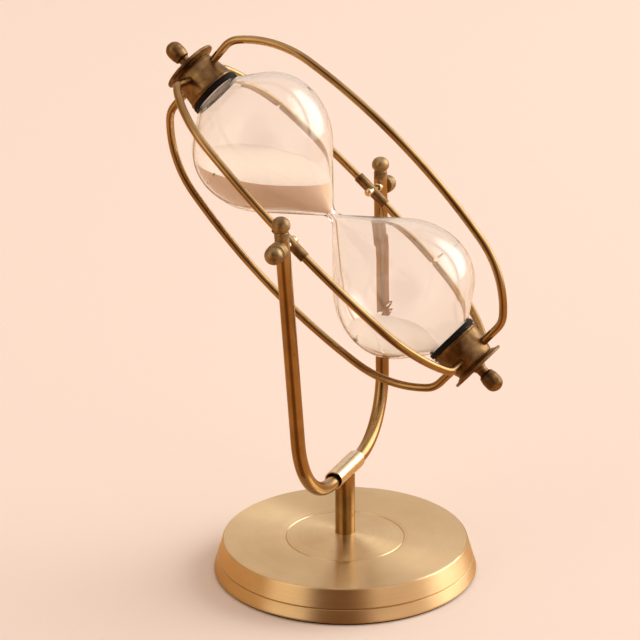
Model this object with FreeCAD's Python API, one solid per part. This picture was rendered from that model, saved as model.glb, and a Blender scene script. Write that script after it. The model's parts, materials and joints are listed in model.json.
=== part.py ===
"""Swinging hourglass on a round weighted foot.

A glass hourglass sits in a cage of four bent wires between two turned caps.
The cage turns end over end about a level axis, on two screws in the arms of a
U-shaped yoke. The yoke is soldered into a short sleeve on a post, leaning by a
couple of degrees, and the post stands on a round foot: a spun brass cover over
an iron weight.

Millimetres. +Z is up, +X runs along the pivot axis, and the origin is the
centre of the underside. At rest the hourglass leans towards +Y.
"""
import FreeCAD, Part

import math
import os

from FreeCAD import Vector

# --- foot ---
pad_radius = 59.0
pad_thickness = 1.0
foot_radius = 60.0
foot_top_radius = 55.8
foot_height = 15.4
foot_wall = 1.2
side_groove = (6.8, 0.35, 0.8)   # height of the groove round the side, half its width, its depth
boss_radius = 27.0
boss_rise = 1.9
boss_dip = 0.45               # the cover dips this far before the boss
boss_dip_width = 2.6
boss_groove = (0.3, 0.4)      # half the width and the depth of the groove round the boss
weight_thickness = 5.0
weight_hub_radius = 12.0
weight_hub_top = 11.0
weight_recess = (6.0, 4.5)    # radius and depth of the recess for the screw's head
loose_fit = 0.2               # clearance of a fixed piece in its hole

# --- post, sleeve and fixing screw ---
post_radius = 4.5
sleeve_radius = 4.2
sleeve_bore = 3.7
sleeve_half = 13.7
solder_film = 0.1
screw_radius = 2.5
screw_top = 24.0
head_radius = 4.3
head_height = 2.6
washer_radius = 5.3
washer_thickness = 0.8

# --- yoke ---
yoke_wire = 3.1
yoke_floor = 47.1             # height of the wire's centre line in the sleeve
yoke_bend = 34.4
yoke_lean = 2.3               # lean of the whole yoke towards +Y, degrees
pivot_height = 166.5          # height of the pivot axis before the yoke leans
arm_at_pivot = 56.0
arm_spread = 0.0657           # outward slope of an arm for each unit of height
arm_above_pivot = 3.0

# --- finials ---
finial_neck = 3.05
finial_rings = 4
finial_pitch = 0.9
finial_ball = 3.9
finial_height = 13.0          # above the pivot axis
spigot_radius = 1.2
spigot_low = 1.9

# --- pivot screws ---
shank_radius = 0.95
pivot_bore = 1.3              # in the cage, wider than the shank, which stands square to the splayed arm
running_gap = 0.05
drum_radius = 4.15            # of the grooved drum behind a screw's ball
drum_rings = 4
drum_pitch = 1.05
ball_radius = 3.9
bead_radius = 2.2
bead_length = 1.7             # how far a bead stands in from its arm
nut_radius = 1.9
nut_length = 3.2              # how far a nut stands in from its collar

# --- cage, measured along the hourglass's own axis from its waist ---
tilt = 48.0                   # lean of the hourglass from upright at rest, degrees
cage_offset = -1.75           # the cage sits this far off the middle of the yoke
rib_wire = 1.75
rib_end = 6.5                 # distance of a rib's end from the axis
rib_height = 84.2
rib_shoulder = 22.5           # corners of the rib's outline before they are rounded
rib_haunch = (39.2, 69.7)
rib_belly = 50.8
rib_bends = (10.0, 50.0, 307.0)
collar_radius = 2.35
collar_half = 8.8
cap_rim = 75.2
cap_rim_radius = 11.8
cap_neck_radius = 9.3
cap_top = 88.4
disc_radius = 12.7
disc_top = 90.9
knob_radius = 3.9
knob_tip = 103.8
screw_hole = 1.6              # for an end knob's screw
seal_radius = 12.0
seal_thickness = 2.3

# --- glass and sand ---
glass_wall = 1.2
bulb_radius = 31.3
bulb_height = 46.0            # where the bulb is widest
waist_radius = 2.4
cone_angle = 43.0             # slope of the bulb's waist side
shoulder_angle = 54.0         # slope of the bulb's cap side
neck_radius = 10.5
neck_end = 80.2
bulb_bends = (4.0, 33.0, 24.0, 1.8)
stopper_face = 73.6
sand_gap = 0.1
upper_sand = (186.0, 9.0)     # height of the sand at the bulb's middle, and its slope in degrees
lower_sand = (114.0, 12.0)

UP = Vector(0, 0, 1)
ACROSS = Vector(1, 0, 0)


# --- outlines ---

def rounded_wire(corners, closed=False):
    """A wire through (x, z, radius) corners, each rounded by its own radius."""
    points = [Vector(corner[0], 0, corner[1]) for corner in corners]
    count = len(points)
    edges = []
    first = None
    last = None
    for index, point in enumerate(points):
        radius = corners[index][2] if len(corners[index]) > 2 else 0.0
        start, end = point, point
        if radius:
            back = (points[index - 1] - point).normalize()
            ahead = (points[(index + 1) % count] - point).normalize()
            half_angle = back.getAngle(ahead) / 2
            reach = radius / math.tan(half_angle)
            start = point + back * reach
            end = point + ahead * reach
            middle_way = (back + ahead).normalize()
            middle = point + middle_way * (radius / math.sin(half_angle) - radius)
        if last is not None and (start - last).Length > 1e-6:
            edges.append(Part.LineSegment(last, start).toShape())
        if radius:
            edges.append(Part.Arc(start, middle, end).toShape())
        if first is None:
            first = start
        last = end
    if closed:
        edges.append(Part.LineSegment(last, first).toShape())
    return Part.Wire(edges)


def turned(corners):
    """A solid of revolution about Z from (radius, height) corners."""
    face = Part.Face(rounded_wire(corners, closed=True))
    return face.revolve(Vector(0, 0, 0), UP, 360)


def bent_wire(corners, radius):
    """A round wire along (x, z) corners, each with its bend radius."""
    path = rounded_wire(corners)
    start = path.Edges[0]
    heading = start.tangentAt(start.FirstParameter)
    section = Part.Wire(Part.makeCircle(radius, start.valueAt(start.FirstParameter), heading))
    return path.makePipeShell([section], True, False)


def rod(radius, low, high):
    """An upright cylinder on the Z axis between two heights."""
    return Part.makeCylinder(radius, high - low, Vector(0, 0, low))


def cross_rod(radius, low, high, height=0.0):
    """A cylinder along X between two places."""
    return Part.makeCylinder(radius, high - low, Vector(low, 0, height), ACROSS)


def largest(shape):
    """The largest solid of a cut."""
    return max(shape.Solids, key=lambda solid: solid.Volume)


def half_turned(shape, axis):
    """A copy turned half way round a line through the origin."""
    copy = shape.copy()
    copy.rotate(Vector(0, 0, 0), axis, 180)
    return copy


# --- foot ---

def make_pad():
    return turned([(0, 0), (pad_radius, 0), (pad_radius, pad_thickness), (0, pad_thickness)])


def side_radius(height):
    """Radius of the foot's sloping side at a height."""
    low = pad_thickness + 0.6
    slope = (foot_radius - foot_top_radius) / (foot_height - low)
    return foot_radius - slope * (height - low)


def make_cover():
    """The spun cover: a sloping side with one groove, a flat top and a low domed boss."""
    top = foot_height
    middle, half, depth = side_groove
    groove_half, groove_depth = boss_groove
    dip = top - boss_dip
    outer = turned([
        (0, pad_thickness), (foot_radius, pad_thickness), (foot_radius, pad_thickness + 0.6, 0.3),
        (side_radius(middle - half), middle - half, 0.1), (side_radius(middle) - depth, middle),
        (side_radius(middle + half), middle + half, 0.1), (foot_top_radius, top, 0.8),
        (boss_radius + boss_dip_width, top, 12.0), (boss_radius + groove_half, dip),
        (boss_radius, dip - groove_depth), (boss_radius - groove_half, dip, 0.1),
        (boss_radius / 2, top + boss_rise, 120.0), (0, top + boss_rise)])
    inside = turned([
        (0, 0), (foot_radius - foot_wall - 0.4, 0), (foot_top_radius - foot_wall - 0.4, top - foot_wall, 2.0),
        (0, top - foot_wall)])
    hole = rod(post_radius + running_gap, 0, 2 * top)
    return outer.cut(inside).cut(hole)


def make_weight():
    low = pad_thickness + 0.1
    edge = foot_radius - foot_wall - 1.4
    body = turned([
        (0, low), (edge, low), (edge - 1.2, low + weight_thickness, 1.0),
        (weight_hub_radius, low + weight_thickness, 2.0), (weight_hub_radius - 1, weight_hub_top, 0.8),
        (0, weight_hub_top)])
    recess = rod(weight_recess[0], 0, low + weight_recess[1])
    return body.cut(recess).cut(rod(screw_radius + loose_fit, 0, weight_hub_top + 1))


def make_washer():
    seat = pad_thickness + 0.1 + weight_recess[1]
    washer = rod(washer_radius, seat - washer_thickness, seat)
    return washer.cut(rod(screw_radius + loose_fit, 0, seat + 1))


def make_base_screw():
    seat = pad_thickness + 0.1 + weight_recess[1] - washer_thickness
    low = seat - head_height
    head = turned([(0, low), (head_radius, low, 1.0), (head_radius, seat), (0, seat)])
    slot = Part.makeBox(2 * head_radius, 1.0, 1.0, Vector(-head_radius, -0.5, low))
    return head.fuse(rod(screw_radius, seat, screw_top)).cut(slot).removeSplitter()


# --- post and sleeve ---

def sleeve_height():
    """The wire lies low in the sleeve's bore, on a film of solder."""
    return yoke_floor + sleeve_bore - yoke_wire - solder_film


def make_post():
    top = sleeve_height() - 1.0
    post = rod(post_radius, weight_hub_top, top)
    saddle = cross_rod(sleeve_radius, -20, 20, sleeve_height())
    return post.cut(saddle).cut(rod(screw_radius, 0, screw_top + 2.0))


def make_sleeve():
    height = sleeve_height()
    tube = cross_rod(sleeve_radius, -sleeve_half, sleeve_half, height)
    return tube.cut(cross_rod(sleeve_bore, -sleeve_half, sleeve_half, height))


def make_sleeve_solder(yoke):
    """The solder round the wire in the middle of the sleeve, short of its open ends."""
    half = sleeve_half - 5.0
    return cross_rod(sleeve_bore, -half, half, sleeve_height()).cut(yoke)


# --- yoke ---

def arm_at(height):
    """Distance of an arm's centre line from the middle at a height."""
    return arm_at_pivot + arm_spread * (height - pivot_height)


def leaned(shape):
    """Lean a piece of the yoke about the wire in the sleeve."""
    copy = shape.copy()
    copy.rotate(Vector(0, 0, yoke_floor), ACROSS, -yoke_lean)
    return copy


def on_arm(side, shape, height):
    """Put a fitting, made upright about its own place on the arm's line, onto an arm, square to it."""
    copy = shape.copy()
    copy.rotate(Vector(0, 0, 0), Vector(0, 1, 0), side * math.degrees(math.atan(arm_spread)))
    copy.translate(Vector(side * arm_at(height), 0, height))
    return copy


def bore_height(side):
    """Height where a pivot screw crosses its arm, to meet the cage's collar on the pivot axis."""
    return pivot_height - (arm_at_pivot - abs(rib_middle(side))) * arm_spread


def make_yoke():
    """The bent wire, upright, with the pivot screws' holes and the finials' sockets."""
    top = pivot_height + arm_above_pivot
    foot = arm_at(yoke_floor)
    yoke = bent_wire([(-arm_at(top), top), (-foot, yoke_floor, yoke_bend),
                      (foot, yoke_floor, yoke_bend), (arm_at(top), top)], yoke_wire)
    bore = cross_rod(shank_radius + running_gap, -10, 10)
    socket = rod(spigot_radius, spigot_low, arm_above_pivot + 1)
    for side in (-1, 1):
        yoke = yoke.cut(on_arm(side, bore, bore_height(side)))
        yoke = yoke.cut(on_arm(side, socket, pivot_height))
    return yoke


def ringed(radius, low, pitch, count, depth=0.3):
    """Outline corners of a neck with count grooves, one at the top of each pitch."""
    corners = []
    for ring in range(count):
        start = low + ring * pitch
        corners.append((radius, start, 0.15))
        corners.append((radius, start + pitch - 0.3, 0.15))
        corners.append((radius - depth, start + pitch - 0.15))
    return corners


def make_finial(side, yoke):
    """A ball on a ringed neck, with a spigot in the end of the arm."""
    low = arm_above_pivot - 0.1
    waist = low + finial_rings * finial_pitch
    finial = turned(
        [(0, spigot_low), (spigot_radius, spigot_low), (spigot_radius, low)]
        + ringed(finial_neck, low, finial_pitch, finial_rings)
        + [(finial_neck - 0.4, waist, 0.2), (finial_ball, waist + 1.9, 0.8),
           (finial_ball, finial_height, finial_ball - 0.3), (0, finial_height)])
    return on_arm(side, finial, pivot_height).cut(yoke)


def make_pivot_screw(side):
    """A ball on a ringed drum with its screw, which ends in the nut inside the cage."""
    face = yoke_wire + 0.3
    drum = face + drum_rings * drum_pitch
    tip = drum + 2 * ball_radius - 2.6
    end = arm_at_pivot - abs(rib_middle(side)) + collar_radius + 2.0
    knob = turned(
        [(0, -end), (shank_radius, -end, 0.3), (shank_radius, face)]
        + ringed(drum_radius, face, drum_pitch, drum_rings)
        + [(ball_radius - 0.3, drum, 0.2), (ball_radius, drum + 1.2, 2.0),
           (ball_radius, tip, ball_radius - 0.1), (0, tip)])
    knob.rotate(Vector(0, 0, 0), Vector(0, 1, 0), 90 * side)
    return on_arm(side, knob, bore_height(side))


def make_pivot_bead(side, yoke):
    """A bead soldered to the inner face of an arm, with the pivot screw through it."""
    length = yoke_wire + bead_length
    bead = turned([(0, 0), (bead_radius, 0), (bead_radius, length, 1.0), (0, length)])
    bead = bead.cut(rod(shank_radius + running_gap, 0, length))
    bead.rotate(Vector(0, 0, 0), Vector(0, 1, 0), -90 * side)
    return largest(on_arm(side, bead, bore_height(side)).cut(yoke))


# --- cage: made upright about the waist of the hourglass, then hung in the yoke ---

def pivot_place():
    """The middle of the cage on the pivot axis, once the yoke leans."""
    lean = math.radians(yoke_lean)
    length = pivot_height - yoke_floor
    return Vector(cage_offset, length * math.sin(lean), yoke_floor + length * math.cos(lean))


def hung(shape):
    """Put a piece of the cage in its place at rest."""
    copy = shape.copy()
    copy.rotate(Vector(0, 0, 0), ACROSS, -tilt)
    copy.translate(pivot_place())
    return copy


def rib_radius():
    """Distance of a rib's centre line from the hourglass axis at the waist."""
    half_turn = math.atan2(rib_belly - rib_haunch[0], rib_haunch[1])
    return rib_belly - rib_bends[2] * (1 / math.cos(half_turn) - 1)


def rib_middle(side):
    """Place of a side rib's centre line on the pivot axis."""
    return cage_offset + side * rib_radius()


def make_rib(turn):
    """One wire of the cage, turned round the hourglass axis from the +X side."""
    mouth, haunch, belly = rib_bends
    corners = [
        (rib_end, rib_height), (rib_shoulder, rib_height, mouth), (rib_haunch[0], rib_haunch[1], haunch),
        (rib_belly, 0, belly),
        (rib_haunch[0], -rib_haunch[1], haunch), (rib_shoulder, -rib_height, mouth), (rib_end, -rib_height)]
    rib = bent_wire(corners, rib_wire)
    if turn in (0, 180):
        rib = rib.cut(cross_rod(pivot_bore, 0, 80))
    rib.rotate(Vector(0, 0, 0), UP, turn)
    return rib


def make_collar(side):
    """The sleeve round the middle of a side rib, which the pivot screw passes through."""
    collar = rod(collar_radius, -collar_half, collar_half).cut(rod(rib_wire + 0.15, -collar_half, collar_half))
    collar.translate(Vector(side * rib_radius(), 0, 0))
    return collar.cut(cross_rod(pivot_bore, -80, 80))


def make_nut(side):
    """A domed nut on the inner face of a collar."""
    length = collar_radius + nut_length
    nut = turned([(0, 0), (nut_radius, 0), (nut_radius, length, 1.6), (0, length)])
    nut = nut.cut(rod(pivot_bore, 0, length - 1.0))
    nut.rotate(Vector(0, 0, 0), Vector(0, 1, 0), -90 * side)
    nut.translate(Vector(side * rib_radius(), 0, 0))
    seat = rod(collar_radius, -collar_half, collar_half)
    seat.translate(Vector(side * rib_radius(), 0, 0))
    return nut.cut(seat)


def make_cap():
    """A turned cap: a cup for the glass, a solid crown for the ribs and the knob's screw."""
    rim = cap_rim_radius
    neck = cap_neck_radius
    body = turned([
        (0, cap_rim), (rim - 0.6, cap_rim, 0.2), (rim, cap_rim + 0.5, 0.3), (rim, cap_rim + 1.3, 0.3),
        (rim - 0.4, cap_rim + 1.7, 0.5), (neck + 0.5, cap_top - 1.6, 2.0), (neck, cap_top, 0.2), (0, cap_top)])
    cup = rod(neck_radius + loose_fit, cap_rim - 1, neck_end + 0.4)
    body = body.cut(cup).cut(rod(screw_hole, neck_end, cap_top + 1))
    for turn in range(4):
        hole = cross_rod(rib_wire + running_gap, rib_end - 0.2, 20, rib_height)
        hole.rotate(Vector(0, 0, 0), UP, 90 * turn)
        body = body.cut(hole)
    return body


def make_disc():
    """The dished disc that the end knob clamps on a cap: a thin edge over a hollow flare."""
    disc = turned([
        (0, cap_top), (cap_neck_radius - 0.2, cap_top), (disc_radius - 1.6, disc_top - 1.4, 2.4),
        (disc_radius, disc_top - 1.2, 0.5), (disc_radius, disc_top, 0.5), (0, disc_top)])
    return disc.cut(rod(screw_hole, cap_top - 1, disc_top + 1))


def make_end_knob():
    """A bullet-shaped knob with its screw."""
    low = disc_top
    end = rib_height - 1
    return turned([
        (0, end), (screw_hole - 0.1, end, 0.4), (screw_hole - 0.1, low), (2.9, low), (2.9, low + 0.7, 0.3),
        (2.4, low + 1.3, 0.6), (2.4, low + 3.6, 0.4), (knob_radius - 0.6, low + 4.2, 0.4),
        (knob_radius, low + 6.6, 3.0), (knob_radius, knob_tip, knob_radius - 0.1), (0, knob_tip)])


def make_seal():
    """The black rubber ring between a cap's rim and the shoulder of the glass."""
    top = cap_rim - running_gap
    low = cap_rim - seal_thickness
    ring = turned([(0, low), (seal_radius, low, 0.5), (seal_radius, top, 0.5), (0, top)])
    return largest(ring.cut(bulb(-running_gap, neck_end)))


def make_stopper():
    """The cork in the open neck of a bulb."""
    return rod(neck_radius - glass_wall - running_gap, stopper_face, neck_end)


def bulb(inset, end):
    """One bulb with its neck as a solid, every face moved inwards by the inset."""
    waist = waist_radius - inset
    widest = bulb_radius - inset
    neck = neck_radius - inset
    waist_bend, cone_bend, shoulder_bend, neck_bend = bulb_bends
    cone = math.radians(cone_angle)
    shoulder = math.radians(shoulder_angle)
    cone_corner = bulb_height - (cone_bend - inset) * math.tan(cone / 2)
    waist_corner = cone_corner - (widest - waist) / math.tan(cone)
    shoulder_corner = bulb_height + (shoulder_bend - inset) * math.tan(shoulder / 2)
    neck_corner = shoulder_corner + (widest - neck) / math.tan(shoulder)
    return turned([
        (0, 0), (waist, 0), (waist, waist_corner, waist_bend + inset), (widest, cone_corner, cone_bend - inset),
        (widest, shoulder_corner, shoulder_bend - inset), (neck, neck_corner, neck_bend + inset),
        (neck, end), (0, end)])


def make_glass():
    """Both bulbs, blown in one piece, open at the two necks."""
    half = bulb(0, neck_end).cut(bulb(glass_wall, neck_end))
    return half.fuse(half_turned(half, ACROSS)).removeSplitter()


def make_sand(side, height, slope):
    """The part of a bulb's inside that lies below a sloping surface."""
    inside = bulb(glass_wall + sand_gap, stopper_face - sand_gap).cut(rod(20, 0, 2.0))
    if side < 0:
        inside = half_turned(inside, ACROSS)
    inside = hung(inside)
    middle = pivot_place().y + side * bulb_height * math.sin(math.radians(tilt))
    above = Part.makeBox(200, 200, 200, Vector(-100, -100, 0))
    above.rotate(Vector(0, 0, 0), ACROSS, slope)
    above.translate(Vector(0, middle, height))
    return largest(inside.cut(above))


# --- the whole object ---

def build():
    """All pieces, by node name."""
    yoke = make_yoke()
    pieces = {
        "felt_pad": make_pad(),
        "foot_cover": make_cover(),
        "foot_weight": make_weight(),
        "foot_washer": make_washer(),
        "foot_screw": make_base_screw(),
        "post": make_post(),
        "saddle_sleeve": make_sleeve(),
        "saddle_solder": make_sleeve_solder(yoke),
        "yoke": leaned(yoke),
        "glass": hung(make_glass()),
        "sand_upper": make_sand(1, *upper_sand),
        "sand_lower": make_sand(-1, *lower_sand),
    }
    for name, side in (("left", -1), ("right", 1)):
        pieces["finial_" + name] = leaned(make_finial(side, yoke))
        pieces["pivot_screw_" + name] = leaned(make_pivot_screw(side))
        pieces["pivot_bead_" + name] = leaned(make_pivot_bead(side, yoke))
        pieces["pivot_nut_" + name] = hung(make_nut(side))
        pieces["rib_collar_" + name] = hung(make_collar(side))
    for name, turn in (("right", 0), ("lower", 90), ("left", 180), ("upper", 270)):
        pieces["rib_" + name] = hung(make_rib(turn))
    for kind, make in (("cap", make_cap), ("cap_disc", make_disc), ("end_knob", make_end_knob),
                       ("seal", make_seal), ("stopper", make_stopper)):
        piece = make()
        pieces[kind + "_top"] = hung(piece)
        pieces[kind + "_bottom"] = hung(half_turned(piece, ACROSS))
    return pieces


os.makedirs("parts", exist_ok=True)
for node, shape in build().items():
    print(f"{node:20s} solids {len(shape.Solids)} valid {shape.isValid()} volume {shape.Volume:10.1f}")
    shape.exportStep(f"parts/{node}.step")
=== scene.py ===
"""Looks of the swinging hourglass: glass, running sand, materials, light and camera."""

import json
import math

import bmesh
import bpy
from mathutils import Matrix, Vector


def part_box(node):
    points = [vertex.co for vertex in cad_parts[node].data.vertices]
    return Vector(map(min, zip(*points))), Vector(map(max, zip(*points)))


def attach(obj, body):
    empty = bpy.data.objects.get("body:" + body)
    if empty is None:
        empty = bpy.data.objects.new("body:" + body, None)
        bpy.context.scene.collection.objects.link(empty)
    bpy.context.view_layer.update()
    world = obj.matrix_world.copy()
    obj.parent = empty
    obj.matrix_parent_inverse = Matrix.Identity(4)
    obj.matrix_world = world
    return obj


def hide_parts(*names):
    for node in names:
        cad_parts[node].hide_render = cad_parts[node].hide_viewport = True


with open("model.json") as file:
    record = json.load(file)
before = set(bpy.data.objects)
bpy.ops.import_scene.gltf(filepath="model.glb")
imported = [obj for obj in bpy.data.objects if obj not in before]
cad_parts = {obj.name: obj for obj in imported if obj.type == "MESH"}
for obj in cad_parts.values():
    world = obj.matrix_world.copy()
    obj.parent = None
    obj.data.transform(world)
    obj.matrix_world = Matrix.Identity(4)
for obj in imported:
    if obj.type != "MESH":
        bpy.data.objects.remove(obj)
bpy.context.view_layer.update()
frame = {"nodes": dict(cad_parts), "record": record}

MM = 0.001

# Camera: a long lens from the side of the left arm, looking down on the foot.
LENS = 106.8
SENSOR = 36.0
AZIMUTH = -67.27
ELEVATION = 18.2
ROLL = -0.30
DISTANCE = 826.4 * MM
AIM_HEIGHT = 150 * MM
SIDEWAYS = -10.8 * MM
UPWARDS = -29.7 * MM

# Blown glass, measured in millimetres along its own axis from the waist.
BULB_HEIGHT = 46.0
NECK_END = 80.2
NECK_RADIUS = 10.5
CONE_ANGLE = 43.0
SHOULDER_ANGLE = 54.0
GLASS_WALL = 1.1
WAIST_RADIUS = 2.38
BORE_RADIUS = 0.9
WAIST_BEND = 4.0
CONE_BEND = 33.0
SHOULDER_BEND = 24.0
NECK_BEND = 1.8
SHARP_ANGLE = 35

# The running sand, in millimetres.
STREAM_RADIUS = 0.4
STREAM_GAP = 0.8              # of its middle from the glass
STREAM_BORE = 0.3             # distance of its middle from the axis in the waist
STREAM_START = 8.0            # height above the waist where it leaves the upper sand

# What the shiny parts see round the object.
PALE_ROOM = (0.98, 0.80, 0.68)
LEFT_ROOM = (0.62, 0.38, 0.19)
DARK_ROOM = (0.12, 0.050, 0.015)
FRONT_GLOW = (1.60, 1.28, 0.92)
WINDOW_GLOW = (4.6, 4.3, 3.8)
WARM_FLOOR = (0.72, 0.44, 0.22)
# painted shade on the floor before the object, seen only in reflections
FLOOR_PAINTED_SHADE = (0.26, 0.125, 0.045)


# --- node helpers ---

def shader(name):
    """A new node material: its node tree and its Principled shader."""
    material = bpy.data.materials.new(name)
    material.use_nodes = True
    tree = material.node_tree
    return material, tree, tree.nodes["Principled BSDF"]


def object_place(tree):
    """Place on the object in metres."""
    return tree.nodes.new("ShaderNodeTexCoord").outputs["Object"]


def noise(tree, place, scale, detail=4.0, rough=0.55):
    node = tree.nodes.new("ShaderNodeTexNoise")
    node.inputs["Scale"].default_value = scale
    node.inputs["Detail"].default_value = detail
    node.inputs["Roughness"].default_value = rough
    tree.links.new(place, node.inputs["Vector"])
    return node.outputs["Fac"]


def ramp(tree, factor, stops):
    """A colour ramp through (place, colour) stops."""
    node = tree.nodes.new("ShaderNodeValToRGB")
    elements = node.color_ramp.elements
    while len(elements) < len(stops):
        elements.new(0.5)
    for element, (place, colour) in zip(elements, stops):
        element.position = place
        element.color = (*colour, 1)
    tree.links.new(factor, node.inputs["Fac"])
    return node.outputs["Color"]


def spread(tree, factor, low, high):
    """The middle half of a noise stretched from low to high."""
    node = tree.nodes.new("ShaderNodeMapRange")
    node.inputs["From Min"].default_value = 0.3
    node.inputs["From Max"].default_value = 0.7
    node.inputs["To Min"].default_value = low
    node.inputs["To Max"].default_value = high
    tree.links.new(factor, node.inputs["Value"])
    return node.outputs["Result"]


def mixed(tree, factor, first, second, blend="MIX"):
    node = tree.nodes.new("ShaderNodeMix")
    node.data_type = "RGBA"
    node.blend_type = blend
    for value, socket in ((factor, node.inputs[0]), (first, node.inputs[6]), (second, node.inputs[7])):
        if hasattr(value, "is_linked"):
            tree.links.new(value, socket)
        else:
            socket.default_value = (*value, 1) if isinstance(value, tuple) else value
    return node.outputs[2]


def bump(tree, principled, height, depth, strength=1.0):
    node = tree.nodes.new("ShaderNodeBump")
    node.inputs["Strength"].default_value = strength
    node.inputs["Distance"].default_value = depth
    tree.links.new(height, node.inputs["Height"])
    tree.links.new(node.outputs["Normal"], principled.inputs["Normal"])


def lobe(tree, place, direction, edge, core, tall=1.0):
    """From 0 at an edge angle off a direction to 1 at its core angle; tall below 1 stretches it upwards."""
    squash = tree.nodes.new("ShaderNodeVectorMath")
    squash.operation = "MULTIPLY"
    squash.inputs[1].default_value = (1, 1, tall)
    unit = tree.nodes.new("ShaderNodeVectorMath")
    unit.operation = "NORMALIZE"
    along = tree.nodes.new("ShaderNodeVectorMath")
    along.operation = "DOT_PRODUCT"
    along.inputs[1].default_value = direction
    fade = tree.nodes.new("ShaderNodeMapRange")
    fade.interpolation_type = "SMOOTHSTEP"
    fade.inputs["From Min"].default_value = math.cos(math.radians(edge))
    fade.inputs["From Max"].default_value = math.cos(math.radians(core))
    tree.links.new(place, squash.inputs[0])
    tree.links.new(squash.outputs["Vector"], unit.inputs[0])
    tree.links.new(unit.outputs["Vector"], along.inputs[0])
    tree.links.new(along.outputs["Value"], fade.inputs["Value"])
    return fade.outputs["Result"]


# --- materials ---

def wire_brass():
    """Drawn brass under a thin dark lacquer, rubbed brighter in patches."""
    material, tree, principled = shader("wire_brass")
    place = object_place(tree)
    colour = ramp(tree, noise(tree, place, 40, 3.0),
                  [(0.30, (0.28, 0.165, 0.065)), (0.50, (0.40, 0.255, 0.110)), (0.70, (0.50, 0.34, 0.160))])
    specks = ramp(tree, noise(tree, place, 420, 3.0), [(0.30, (0.60, 0.52, 0.42)), (0.38, (1, 1, 1))])
    tree.links.new(mixed(tree, 0.5, colour, specks, "MULTIPLY"), principled.inputs["Base Color"])
    principled.inputs["Metallic"].default_value = 1.0
    tree.links.new(spread(tree, noise(tree, place, 120, 3.0), 0.14, 0.24), principled.inputs["Roughness"])
    bump(tree, principled, noise(tree, place, 600, 3.0), 0.01 * MM, 0.4)
    return material


def old_brass(name, stops, rough):
    """Darkened brass with a mottled, slightly pitted patina."""
    material, tree, principled = shader(name)
    place = object_place(tree)
    tree.links.new(ramp(tree, noise(tree, place, 150, 6.0, 0.62), stops), principled.inputs["Base Color"])
    principled.inputs["Metallic"].default_value = 1.0
    tree.links.new(spread(tree, noise(tree, place, 420, 5.0), rough - 0.08, rough + 0.10),
                   principled.inputs["Roughness"])
    bump(tree, principled, noise(tree, place, 900, 5.0, 0.6), 0.05 * MM, 0.5)
    return material


def dark_bronze():
    return old_brass("dark_bronze", [(0.32, (0.10, 0.055, 0.025)), (0.50, (0.22, 0.130, 0.058)),
                                     (0.64, (0.32, 0.205, 0.095)), (0.76, (0.44, 0.30, 0.150))], 0.36)


def worn_brass():
    return old_brass("worn_brass", [(0.32, (0.16, 0.100, 0.055)), (0.46, (0.34, 0.235, 0.120)),
                                    (0.62, (0.46, 0.335, 0.180)), (0.76, (0.60, 0.46, 0.27))], 0.42)


def spun_brass():
    """Lacquered brass brushed in circles round the post."""
    material, tree, principled = shader("spun_brass")
    apart = tree.nodes.new("ShaderNodeSeparateXYZ")
    tree.links.new(object_place(tree), apart.inputs["Vector"])
    flat = tree.nodes.new("ShaderNodeCombineXYZ")
    tree.links.new(apart.outputs["X"], flat.inputs["X"])
    tree.links.new(apart.outputs["Y"], flat.inputs["Y"])
    radius = tree.nodes.new("ShaderNodeVectorMath")
    radius.operation = "LENGTH"
    tree.links.new(flat.outputs["Vector"], radius.inputs[0])
    ring = tree.nodes.new("ShaderNodeCombineXYZ")
    tree.links.new(radius.outputs["Value"], ring.inputs["X"])
    tree.links.new(apart.outputs["Z"], ring.inputs["Y"])
    rings = noise(tree, ring.outputs["Vector"], 2600, 3.0, 0.7)
    broad = noise(tree, ring.outputs["Vector"], 240, 2.0)
    colour = ramp(tree, noise(tree, object_place(tree), 30, 4.0),
                  [(0.3, (0.78, 0.60, 0.35)), (0.7, (0.90, 0.73, 0.46))])
    lines = ramp(tree, rings, [(0.3, (0.84, 0.81, 0.76)), (0.7, (1, 1, 1))])
    tree.links.new(mixed(tree, 0.8, colour, lines, "MULTIPLY"), principled.inputs["Base Color"])
    principled.inputs["Metallic"].default_value = 1.0
    principled.inputs["Anisotropic"].default_value = 0.92
    principled.inputs["Anisotropic Rotation"].default_value = 0.25
    tangent = tree.nodes.new("ShaderNodeTangent")
    tangent.direction_type = "RADIAL"
    tangent.axis = "Z"
    tree.links.new(tangent.outputs["Tangent"], principled.inputs["Tangent"])
    tree.links.new(spread(tree, broad, 0.29, 0.36), principled.inputs["Roughness"])
    bump(tree, principled, rings, 0.01 * MM, 0.6)
    return material


def plain_metal(name, dark, light, rough):
    """A metal with slight clouding and fine grain."""
    material, tree, principled = shader(name)
    place = object_place(tree)
    tree.links.new(ramp(tree, noise(tree, place, 200, 5.0), [(0.3, dark), (0.7, light)]),
                   principled.inputs["Base Color"])
    principled.inputs["Metallic"].default_value = 1.0
    tree.links.new(spread(tree, noise(tree, place, 500, 4.0), rough - 0.06, rough + 0.06),
                   principled.inputs["Roughness"])
    bump(tree, principled, noise(tree, place, 1500, 4.0), 0.02 * MM, 0.4)
    return material


def dull(name, dark, light, scale, rough, depth, shine=0.5):
    """A non-metal with a two-tone grain."""
    material, tree, principled = shader(name)
    place = object_place(tree)
    grain = noise(tree, place, scale, 5.0, 0.6)
    tree.links.new(ramp(tree, grain, [(0.35, dark), (0.65, light)]), principled.inputs["Base Color"])
    principled.inputs["Roughness"].default_value = rough
    principled.inputs["Specular IOR Level"].default_value = shine
    bump(tree, principled, grain, depth)
    return material


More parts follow.
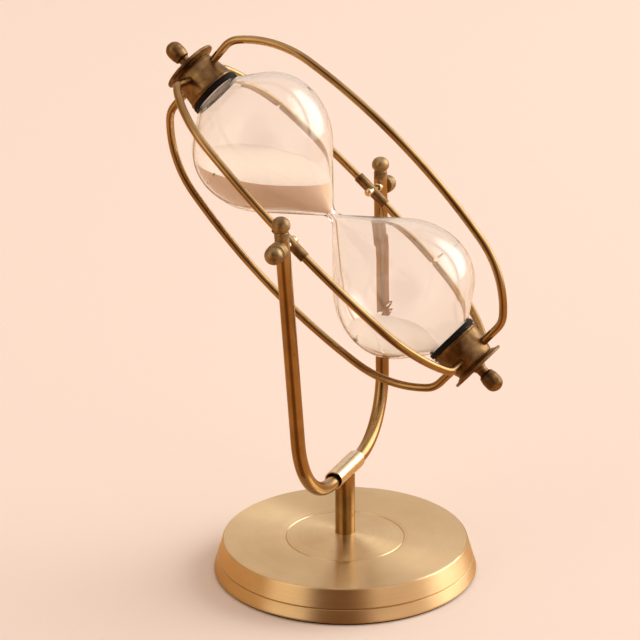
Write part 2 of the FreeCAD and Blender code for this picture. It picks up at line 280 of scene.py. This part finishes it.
def pale_sand():
    """Fine pale sand with painted warm light where it faces down or sideways, as if lit from warm wood."""
    material, tree, principled = shader("pale_sand")
    grain = noise(tree, object_place(tree), 2600, 5.0, 0.6)
    pale = ramp(tree, grain, [(0.35, (0.84, 0.72, 0.64)), (0.65, (0.90, 0.79, 0.71))])
    warm = ramp(tree, grain, [(0.35, (0.88, 0.60, 0.41)), (0.65, (0.95, 0.68, 0.48))])
    geometry = tree.nodes.new("ShaderNodeNewGeometry")
    apart = tree.nodes.new("ShaderNodeSeparateXYZ")
    tree.links.new(geometry.outputs["Normal"], apart.inputs["Vector"])
    # painted light: faces that point down or sideways get the warm colour, as if lit from below
    tree.links.new(mixed(tree, spread(tree, apart.outputs["Z"], 0.0, 1.0), warm, pale),
                   principled.inputs["Base Color"])
    principled.inputs["Roughness"].default_value = 0.95
    bump(tree, principled, grain, 0.12 * MM)
    return material


def clear_glass():
    """Blown glass with a trace of dust, which lets lamps light what is inside it."""
    material, tree, principled = shader("clear_glass")
    principled.inputs["Base Color"].default_value = (0.995, 0.99, 0.985, 1)
    principled.inputs["Roughness"].default_value = 0.0
    principled.inputs["IOR"].default_value = 1.46
    principled.inputs["Transmission Weight"].default_value = 1.0
    ripples = noise(tree, object_place(tree), 32, 1.0)
    bump(tree, principled, ripples, 0.3 * MM, 0.07)
    dust = tree.nodes.new("ShaderNodeBsdfDiffuse")
    dust.inputs["Color"].default_value = (0.95, 0.86, 0.78, 1)
    dusty = tree.nodes.new("ShaderNodeMixShader")
    dusty.inputs[0].default_value = 0.03
    tree.links.new(principled.outputs["BSDF"], dusty.inputs[1])
    tree.links.new(dust.outputs["BSDF"], dusty.inputs[2])
    clear = tree.nodes.new("ShaderNodeBsdfTransparent")
    path = tree.nodes.new("ShaderNodeLightPath")
    either = tree.nodes.new("ShaderNodeMixShader")
    tree.links.new(path.outputs["Is Shadow Ray"], either.inputs[0])
    tree.links.new(dusty.outputs["Shader"], either.inputs[1])
    tree.links.new(clear.outputs["BSDF"], either.inputs[2])
    tree.links.new(either.outputs["Shader"], tree.nodes["Material Output"].inputs["Surface"])
    return material


MATERIALS = {
    "antique_brass": wire_brass(),
    "dark_bronze": dark_bronze(),
    "worn_brass": worn_brass(),
    "brushed_brass": spun_brass(),
    "bright_brass": plain_metal("bright_brass", (0.72, 0.58, 0.38), (0.88, 0.78, 0.58), 0.18),
    "steel": plain_metal("steel", (0.42, 0.42, 0.43), (0.60, 0.60, 0.60), 0.30),
    "solder": plain_metal("solder", (0.40, 0.38, 0.35), (0.58, 0.56, 0.52), 0.38),
    "cast_iron": plain_metal("cast_iron", (0.07, 0.07, 0.075), (0.14, 0.14, 0.14), 0.60),
    "black_rubber": dull("black_rubber", (0.003, 0.002, 0.002), (0.008, 0.006, 0.006), 900, 0.6,
                         0.02 * MM, 0.15),
    "cork": dull("cork", (0.17, 0.13, 0.10), (0.34, 0.27, 0.22), 400, 0.85, 0.10 * MM),
    "felt": dull("felt", (0.012, 0.012, 0.012), (0.035, 0.034, 0.033), 1800, 0.95, 0.10 * MM),
    "sand": pale_sand(),
    "clear_glass": clear_glass(),
}


def dress_nodes():
    for entry in frame["record"]["subparts"]:
        node = frame["nodes"][entry["node"]]
        node.data.materials.clear()
        node.data.materials.append(MATERIALS[entry["material_slot"]])


# --- glass and sand ---

def box_middle(node):
    low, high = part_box(node)
    return (Vector(low) + Vector(high)) / 2


def cage_frame():
    """The hourglass's own frame in millimetres: its waist, with Z along its axis."""
    axis = (box_middle("cap_top") - box_middle("cap_bottom")).normalized()
    across = Vector((1, 0, 0))
    turn = Matrix((across, axis.cross(across), axis)).transposed()
    return Matrix.Translation(box_middle("glass")) @ turn.to_4x4() @ Matrix.Scale(MM, 4)


def rounded(corners, steps=24):
    """Points along (radius, height, bend) corners, each rounded by its bend."""
    points = [Vector(corner[:2]) for corner in corners]
    outline = [points[0]]
    for before, corner, after, (_, _, bend) in zip(points, points[1:], points[2:], corners[1:]):
        back = (before - corner).normalized()
        ahead = (after - corner).normalized()
        half = back.angle(ahead) / 2
        centre = corner + (back + ahead).normalized() * (bend / math.sin(half))
        start = corner + back * (bend / math.tan(half)) - centre
        end = corner + ahead * (bend / math.tan(half)) - centre
        sweep = math.pi - 2 * half
        for step in range(steps + 1):
            part = step / steps
            near = math.sin((1 - part) * sweep) / math.sin(sweep)
            far = math.sin(part * sweep) / math.sin(sweep)
            outline.append(centre + near * start + far * end)
    outline.append(points[-1])
    return outline


def bulb_outline(inset, waist):
    """Outline of one bulb from its waist to its neck, with its walls moved inwards by an inset."""
    low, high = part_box("glass")
    widest = (high[0] - low[0]) / 2 / MM - inset
    neck = NECK_RADIUS - inset
    cone = math.radians(CONE_ANGLE)
    shoulder = math.radians(SHOULDER_ANGLE)
    cone_corner = BULB_HEIGHT - (CONE_BEND - inset) * math.tan(cone / 2)
    waist_corner = cone_corner - (widest - waist) / math.tan(cone)
    shoulder_corner = BULB_HEIGHT + (SHOULDER_BEND - inset) * math.tan(shoulder / 2)
    neck_corner = shoulder_corner + (widest - neck) / math.tan(shoulder)
    return rounded([
        (waist, 0, 0),
        (waist, waist_corner, WAIST_BEND + inset),
        (widest, cone_corner, CONE_BEND - inset),
        (widest, shoulder_corner, SHOULDER_BEND - inset),
        (neck, neck_corner, NECK_BEND + inset),
        (neck, NECK_END, 0)])


def new_piece(name, mesh, slot, *nodes):
    """A piece of the cage with a slot's material, which may stand for CAD nodes."""
    piece = bpy.data.objects.new(name, mesh)
    bpy.context.scene.collection.objects.link(piece)
    piece.data.materials.clear()
    piece.data.materials.append(MATERIALS[slot])
    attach(piece, "cage")
    if nodes:
        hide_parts(*nodes)


def lathe(name, outline, segments=128):
    """A closed mesh turned about the hourglass's axis from a closed outline of points in millimetres."""
    shape = bmesh.new()
    angles = [2 * math.pi * step / segments for step in range(segments)]
    loops = []
    for radius, height in outline:
        ring = [(radius * math.cos(angle), radius * math.sin(angle), height) for angle in angles]
        loops.append([shape.verts.new(place) for place in ring])
    for first, second in zip(loops, loops[1:] + loops[:1]):
        for step in range(segments):
            shape.faces.new([first[step], first[step - 1], second[step - 1], second[step]])
    bmesh.ops.recalc_face_normals(shape, faces=shape.faces)
    shape.transform(cage_frame())
    mesh = bpy.data.meshes.new(name)
    shape.to_mesh(mesh)
    shape.free()
    mesh.shade_smooth()
    mesh.set_sharp_from_angle(angle=math.radians(SHARP_ANGLE))
    return mesh


def add_glass():
    """Both bulbs in one piece, thick-walled only at the waist."""
    outer = bulb_outline(0, WAIST_RADIUS)[1:]
    inner = bulb_outline(GLASS_WALL, BORE_RADIUS)[1:]
    outline = [(point.x, -point.y) for point in outer[::-1]]
    outline += [(point.x, point.y) for point in outer]
    outline += [(point.x, point.y) for point in inner[::-1]]
    outline += [(point.x, -point.y) for point in inner]
    new_piece("blown_glass", lathe("blown_glass", outline), "clear_glass", "glass")


def stream_path():
    """From the upper sand along the wall and through the bore, then down the wall to the heap below."""
    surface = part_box("sand_lower")[1][2]
    wall = bulb_outline(GLASS_WALL + STREAM_GAP, STREAM_BORE)
    to_world = cage_frame()
    path = [to_world @ Vector((0, point.x, point.y)) for point in wall if point.y < STREAM_START][::-1]
    for point in wall:
        place = to_world @ Vector((0, point.x, -point.y))
        if place.z < surface:
            break
        path.append(place)
    return path


def add_stream():
    """A thin round thread of sand."""
    path = stream_path()
    curve = bpy.data.curves.new("thread", "CURVE")
    curve.dimensions = "3D"
    curve.bevel_depth = STREAM_RADIUS * MM
    curve.use_fill_caps = True
    spline = curve.splines.new("POLY")
    spline.points.add(len(path) - 1)
    for point, place in zip(spline.points, path):
        point.co = (*place, 1)
    thread = bpy.data.objects.new("thread", curve)
    mesh = bpy.data.meshes.new_from_object(thread)
    bpy.data.objects.remove(thread)
    new_piece("sand_stream", mesh, "sand")


# --- floor, light and camera ---

def view_axes():
    """Right, up and back of the camera, in the row's frame."""
    azimuth = math.radians(AZIMUTH)
    elevation = math.radians(ELEVATION)
    roll = math.radians(ROLL)
    back = Vector((math.sin(azimuth) * math.cos(elevation), -math.cos(azimuth) * math.cos(elevation),
                   math.sin(elevation)))
    right = Vector((math.cos(azimuth), math.sin(azimuth), 0))
    up = back.cross(right)
    turned_right = math.cos(roll) * right + math.sin(roll) * up
    turned_up = math.cos(roll) * up - math.sin(roll) * right
    return turned_right, turned_up, back


def toward(azimuth, elevation):
    """A direction given by its angle to the right of the camera and its angle above the floor."""
    _, _, back = view_axes()
    heading = math.atan2(back.y, back.x) + math.radians(azimuth)
    height = math.radians(elevation)
    level = math.cos(height)
    return Vector((math.cos(heading) * level, math.sin(heading) * level, math.sin(height)))


def add_camera():
    right, up, back = view_axes()
    data = bpy.data.cameras.new("camera")
    data.lens = LENS
    data.sensor_width = SENSOR
    data.clip_start = 0.05
    camera = bpy.data.objects.new("camera", data)
    place = Vector((0, 0, AIM_HEIGHT)) + back * DISTANCE + right * SIDEWAYS + up * UPWARDS
    turn = Matrix((right, up, back)).transposed()
    camera.matrix_world = Matrix.Translation(place) @ turn.to_4x4()
    bpy.context.scene.collection.objects.link(camera)
    bpy.context.scene.camera = camera


def add_floor():
    """A plain pale floor, which shows in all that shines as warm wood with a patch of painted shade before
    the object.
    """
    material, tree, principled = shader("pale_floor")
    principled.inputs["Base Color"].default_value = (0.91, 0.81, 0.77, 1)
    principled.inputs["Roughness"].default_value = 0.8
    principled.inputs["Specular IOR Level"].default_value = 0.2
    wood = tree.nodes.new("ShaderNodeBsdfDiffuse")
    place = object_place(tree)
    # painted shade: a dark patch toward the camera, seen only in reflections
    tree.links.new(mixed(tree, lobe(tree, place, toward(-14, 0), 32, 8), WARM_FLOOR, FLOOR_PAINTED_SHADE),
                   wood.inputs["Color"])
    path = tree.nodes.new("ShaderNodeLightPath")
    mirrored = tree.nodes.new("ShaderNodeMath")
    mirrored.operation = "GREATER_THAN"
    tree.links.new(path.outputs["Is Glossy Ray"], mirrored.inputs[0])
    tree.links.new(path.outputs["Is Transmission Ray"], mirrored.inputs[1])
    either = tree.nodes.new("ShaderNodeMixShader")
    tree.links.new(mirrored.outputs["Value"], either.inputs[0])
    tree.links.new(principled.outputs["BSDF"], either.inputs[1])
    tree.links.new(wood.outputs["BSDF"], either.inputs[2])
    tree.links.new(either.outputs["Shader"], tree.nodes["Material Output"].inputs["Surface"])
    bpy.ops.mesh.primitive_plane_add(size=16.0)
    floor = bpy.context.object
    floor.name = "floor"
    floor.data.materials.append(material)


def add_light(name, azimuth, elevation, distance, width, height, power, colour):
    """A soft panel that faces the object."""
    data = bpy.data.lights.new(name, "AREA")
    data.shape = "RECTANGLE"
    data.size = width
    data.size_y = height
    data.energy = power
    data.color = colour
    light = bpy.data.objects.new(name, data)
    direction = toward(azimuth, elevation)
    light.location = Vector((0, 0, AIM_HEIGHT)) + direction * distance
    light.rotation_euler = direction.to_track_quat("Z", "Y").to_euler()
    light.visible_camera = False
    light.visible_glossy = False
    bpy.context.scene.collection.objects.link(light)


def add_world():
    """A room, plain and pale to the camera, that lights the object from a pale side, a dark left side,
    a dark strip behind the camera, and two bright places."""
    world = bpy.data.worlds.new("studio")
    world.use_nodes = True
    tree = world.node_tree
    background = tree.nodes["Background"]
    coordinate = tree.nodes.new("ShaderNodeTexCoord")
    place = coordinate.outputs["Generated"]
    room = mixed(tree, lobe(tree, place, toward(-110, 0), 70, 30), PALE_ROOM, LEFT_ROOM)
    room = mixed(tree, lobe(tree, place, toward(-50, 12), 30, 10, 0.6), room, FRONT_GLOW)
    room = mixed(tree, lobe(tree, place, toward(108, 24), 36, 10), room, WINDOW_GLOW)
    room = mixed(tree, lobe(tree, place, toward(-5, 5), 36, 12, 0.4), room, DARK_ROOM)
    path = tree.nodes.new("ShaderNodeLightPath")
    seen = mixed(tree, path.outputs["Is Camera Ray"], room, PALE_ROOM)
    tree.links.new(seen, background.inputs["Color"])
    background.inputs["Strength"].default_value = 0.84
    bpy.context.scene.world = world


def set_colours_and_bounces():
    scene = bpy.context.scene
    scene.view_settings.view_transform = "Standard"
    scene.cycles.max_bounces = 24
    scene.cycles.transmission_bounces = 24
    scene.cycles.transparent_max_bounces = 24


dress_nodes()
add_glass()
add_stream()
add_camera()
add_floor()
add_world()
add_light("window", azimuth=110, elevation=26, distance=3.0, width=3.0, height=2.4, power=26,
          colour=(1.0, 0.95, 0.90))
set_colours_and_bounces()
